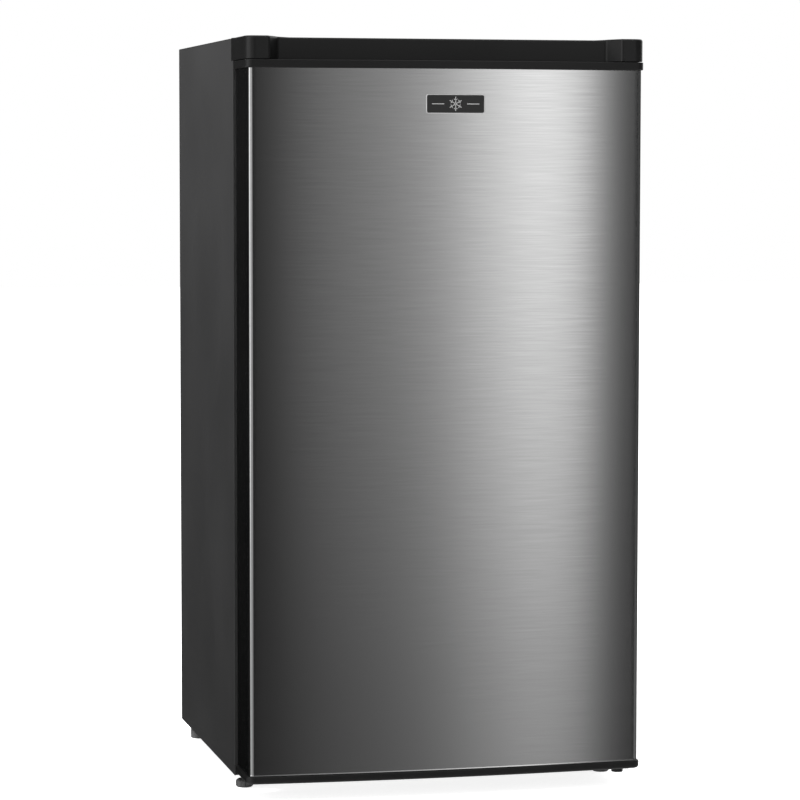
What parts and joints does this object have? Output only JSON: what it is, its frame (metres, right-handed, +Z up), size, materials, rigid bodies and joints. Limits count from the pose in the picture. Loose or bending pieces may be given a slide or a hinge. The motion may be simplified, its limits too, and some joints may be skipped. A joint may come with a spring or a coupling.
{
  "type": "mini fridge",
  "caption": "Freestanding mini fridge: bowed steel-faced door hinged on the right, ice box with flap, glass shelves, drawer, door bins and a rear compressor.",
  "frame": {"origin": "on the floor, under the middle of the bounding box", "axes": "+Z up, the door faces -Y, +X to the right as seen from the front"},
  "size_m": [0.456, 0.492, 0.85],
  "materials": {
    "cabinet_paint": "satin dark grey paint",
    "door_paint": "gloss black paint",
    "brushed_steel": "horizontally brushed",
    "black_trim": "fine satin",
    "badge_metal": "satin",
    "zinc_steel": "zinc plated",
    "black_steel": "satin black",
    "foam": "matte",
    "white_liner": "satin",
    "white_plastic": "satin",
    "clear_plastic": "clear",
    "flap_plastic": "frosted",
    "knob_plastic": "satin",
    "shelf_glass": "polished",
    "bulb_glass": "frosted",
    "roll_bond": "satin",
    "foot_plastic": "matte",
    "compressor_paint": "gloss black",
    "black_rubber": "matte",
    "black_plastic": "matte",
    "copper": "satin",
    "condenser_paint": "satin black",
    "gasket": "matte"
  },
  "bodies": {
    "cabinet": {"side_panel_left": "cabinet_paint", "side_panel_right": "cabinet_paint", "top_panel": "cabinet_paint", "back_panel": "zinc_steel", "compartment_panel": "zinc_steel", "base_rails": "black_steel", "front_crossbar": "cabinet_paint", "cabinet_foam": "foam", "inner_liner": "white_liner", "top_trim": "black_trim", "top_hinge_bracket": "zinc_steel", "bottom_hinge_bracket": "black_steel", "hinge_screws": "zinc_steel", "rear_feet": "foot_plastic", "upper_shelf_glass": "shelf_glass", "upper_shelf_trim": "white_plastic", "lower_shelf_glass": "shelf_glass", "lower_shelf_trim": "white_plastic", "crisper_cover_glass": "shelf_glass", "crisper_cover_trim": "white_plastic", "ice_box": "roll_bond", "ice_box_hangers": "white_plastic", "ice_box_frame": "white_plastic", "drip_tray": "clear_plastic", "thermostat_housing": "white_plastic", "thermostat_control": "zinc_steel", "lamp_holder": "white_plastic", "lamp_bulb": "bulb_glass", "lamp_lens": "clear_plastic", "door_switch_housing": "white_plastic", "compressor_base": "black_steel", "compressor": "compressor_paint", "compressor_grommets": "black_rubber", "terminal_cover": "black_plastic", "cord_gland": "black_rubber", "evaporation_tray": "black_plastic", "drain_tube": "white_plastic", "filter_drier": "copper", "refrigerant_tubes": "copper", "condenser_tube": "condenser_paint", "condenser_wires": "condenser_paint", "condenser_brackets": "black_plastic", "wall_spacers": "black_plastic"},
    "foot_left": {"front_foot_left": "foot_plastic"},
    "foot_right": {"front_foot_right": "foot_plastic"},
    "crisper": {"crisper_drawer": "clear_plastic"},
    "ice_flap": {"ice_box_flap": "flap_plastic"},
    "knob": {"thermostat_knob": "knob_plastic"},
    "switch_plunger": {"door_switch_plunger": "white_plastic"},
    "door": {"door_skin": "door_paint", "door_steel_front": "brushed_steel", "door_top_cap": "black_trim", "door_bottom_cap": "black_trim", "door_foam": "foam", "door_liner": "white_liner", "door_gasket": "gasket", "door_bins": "clear_plastic", "hinge_bushes": "white_plastic", "door_badge": "badge_metal"}
  },
  "joints": [
    {"name": "door_hinge", "type": "hinge", "parent": "cabinet", "child": "door", "pos_m": [0.212, -0.199, 0.42], "axis": [0, 0, 1], "range_deg": [0, 130]},
    {"name": "ice_flap_hinge", "type": "hinge", "parent": "cabinet", "child": "ice_flap", "pos_m": [0, -0.0622, 0.775], "axis": [-1, 0, 0], "range_deg": [0, 70]},
    {"name": "crisper_slide", "type": "slide", "parent": "cabinet", "child": "crisper", "axis": [0, -1, 0], "range_m": [0, 0.038]},
    {"name": "thermostat_turn", "type": "hinge", "parent": "cabinet", "child": "knob", "pos_m": [0.15, -0.009, 0.61], "axis": [-1, 0, 0], "range_deg": [0, 300]},
    {"name": "switch_plunge", "type": "slide", "parent": "cabinet", "child": "switch_plunger", "axis": [0, -1, 0], "range_m": [0, 0.004]},
    {"name": "foot_left_turn", "type": "hinge", "parent": "cabinet", "child": "foot_left", "pos_m": [-0.212, -0.132, 0.01], "axis": [0, 0, 1], "continuous": true},
    {"name": "foot_right_turn", "type": "hinge", "parent": "cabinet", "child": "foot_right", "pos_m": [0.212, -0.132, 0.01], "axis": [0, 0, 1], "continuous": true}
  ],
  "couplings": [
    {"joint": "switch_plunge", "follows": "door_hinge", "m_per_rad": 0.00176}
  ]
}
